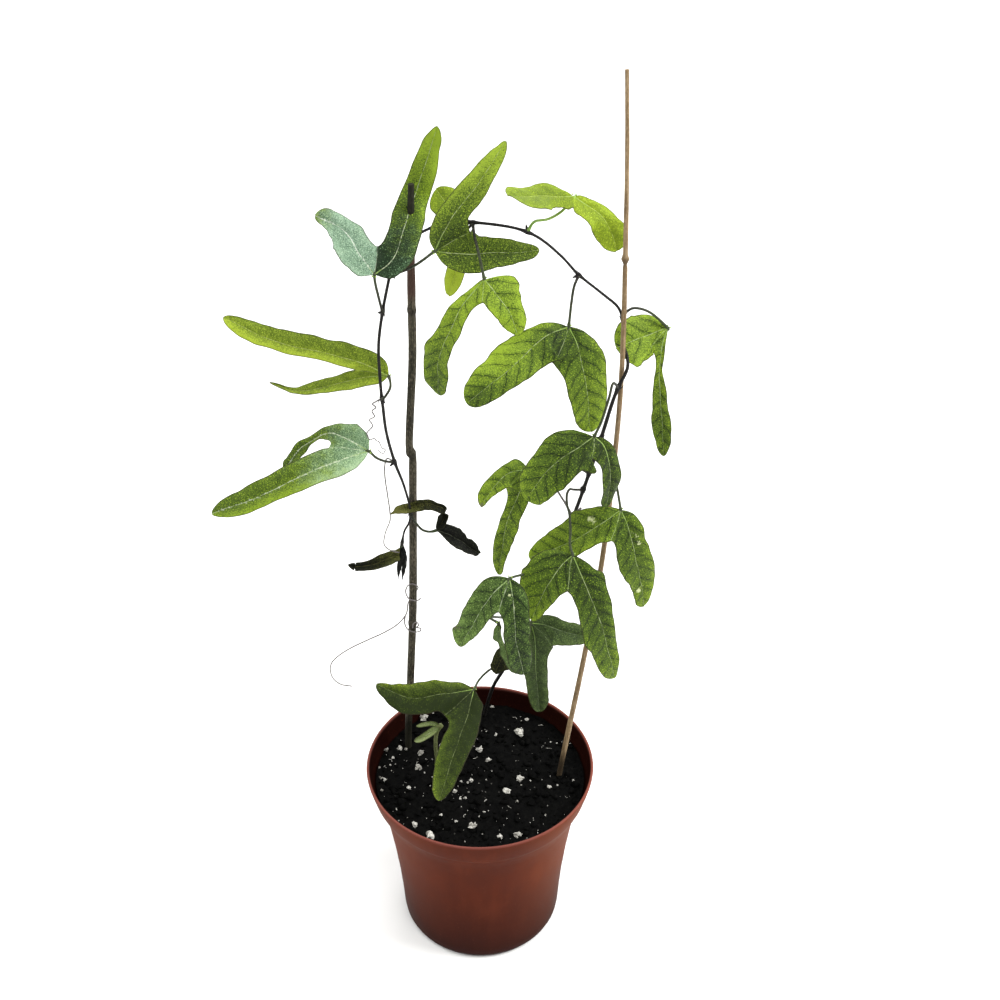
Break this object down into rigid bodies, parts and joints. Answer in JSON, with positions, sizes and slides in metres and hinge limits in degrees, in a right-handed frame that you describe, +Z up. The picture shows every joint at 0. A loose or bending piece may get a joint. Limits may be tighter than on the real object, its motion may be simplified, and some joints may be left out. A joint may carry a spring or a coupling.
{
  "type": "potted passion flower vine",
  "caption": "Young passion flower vine with two-lobed leaves and tendrils, trained over two thin canes in a round plastic nursery pot of potting mix; no open flower.",
  "frame": {"origin": "middle of the pot's flat underside", "axes": "+Z up along the pot's axis, +X to the plant's right, -Y to its front; -Z is the outward normal of the pot's base"},
  "size_m": [0.2133, 0.12, 0.477],
  "materials": {
    "pot_plastic": "satin moulded polypropylene, terracotta brown",
    "potting_mix": "damp, crumbly, with white perlite grains",
    "dark_cane": "weathered, dark, dull",
    "pale_cane": "split bamboo, dull",
    "stem": "thin purple-black living stem, slightly glossy",
    "leaf": "living leaf, satin, mottled green with pale midribs",
    "young_leaf": "young living leaf, yellow-green, satin",
    "withered_leaf": "dried, nearly black, dull",
    "tendril": "wiry, dull"
  },
  "bodies": {
    "root": {"leaf_arch_back": "young_leaf", "leaf_arch_front": "leaf", "leaf_arch_top": "young_leaf", "leaf_centre": "leaf", "leaf_folded": "leaf", "leaf_left_lower": "leaf", "leaf_left_upper": "leaf", "leaf_low_back": "leaf", "leaf_lower_left": "leaf", "leaf_lower_middle": "leaf", "leaf_lower_right": "leaf", "leaf_mid_left": "leaf", "leaf_mid_upper": "leaf", "leaf_pot_rim": "leaf", "leaf_right": "leaf", "leaf_shaded": "leaf", "leaf_stem_tip": "withered_leaf", "leaf_top_left": "leaf", "leaf_top_middle": "leaf", "leaf_withered": "withered_leaf", "left_cane": "dark_cane", "pot": "pot_plastic", "right_cane": "pale_cane", "soil": "potting_mix", "tendril_cane": "tendril", "tendril_hook": "tendril", "tendril_side": "tendril", "tendril_top": "tendril", "vine_stem": "stem", "young_shoot": "young_leaf"}
  },
  "joints": []
}
